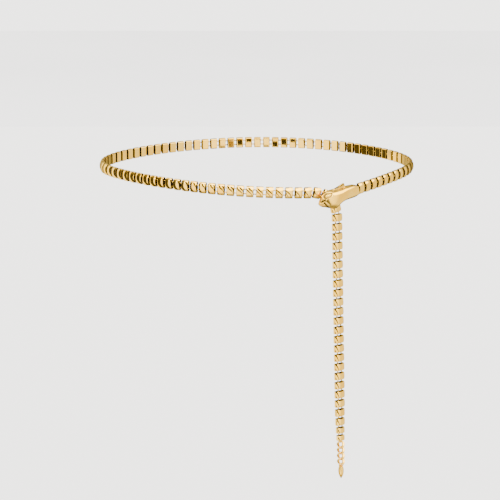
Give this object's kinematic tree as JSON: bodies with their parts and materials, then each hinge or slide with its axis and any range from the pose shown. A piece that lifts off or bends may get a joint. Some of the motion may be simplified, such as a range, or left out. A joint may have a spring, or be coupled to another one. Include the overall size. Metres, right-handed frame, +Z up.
{
  "type": "waist chain",
  "caption": "Waist chain in the form of a snake: domed box links round the waist, a snake's head that hooks over them, and a hanging tail with a pointed tip.",
  "frame": {"origin": "the middle of the waist, at the level of the chain's middle at the back", "axes": "+Z up, +Y from the front of the waist to its back, +X towards the side where the head is"},
  "size_m": [0.2394, 0.1866, 0.2305],
  "materials": {
    "gold": "polished gold colour"
  },
  "bodies": {
    "root": {"snake_head": "gold", "clasp_hook": "gold", "waist_chain": "gold", "hanging_chain": "gold", "tail_link_1": "gold", "tail_link_2": "gold", "tail_link_3": "gold", "tail_link_4": "gold", "tail_tip": "gold"}
  },
  "joints": []
}
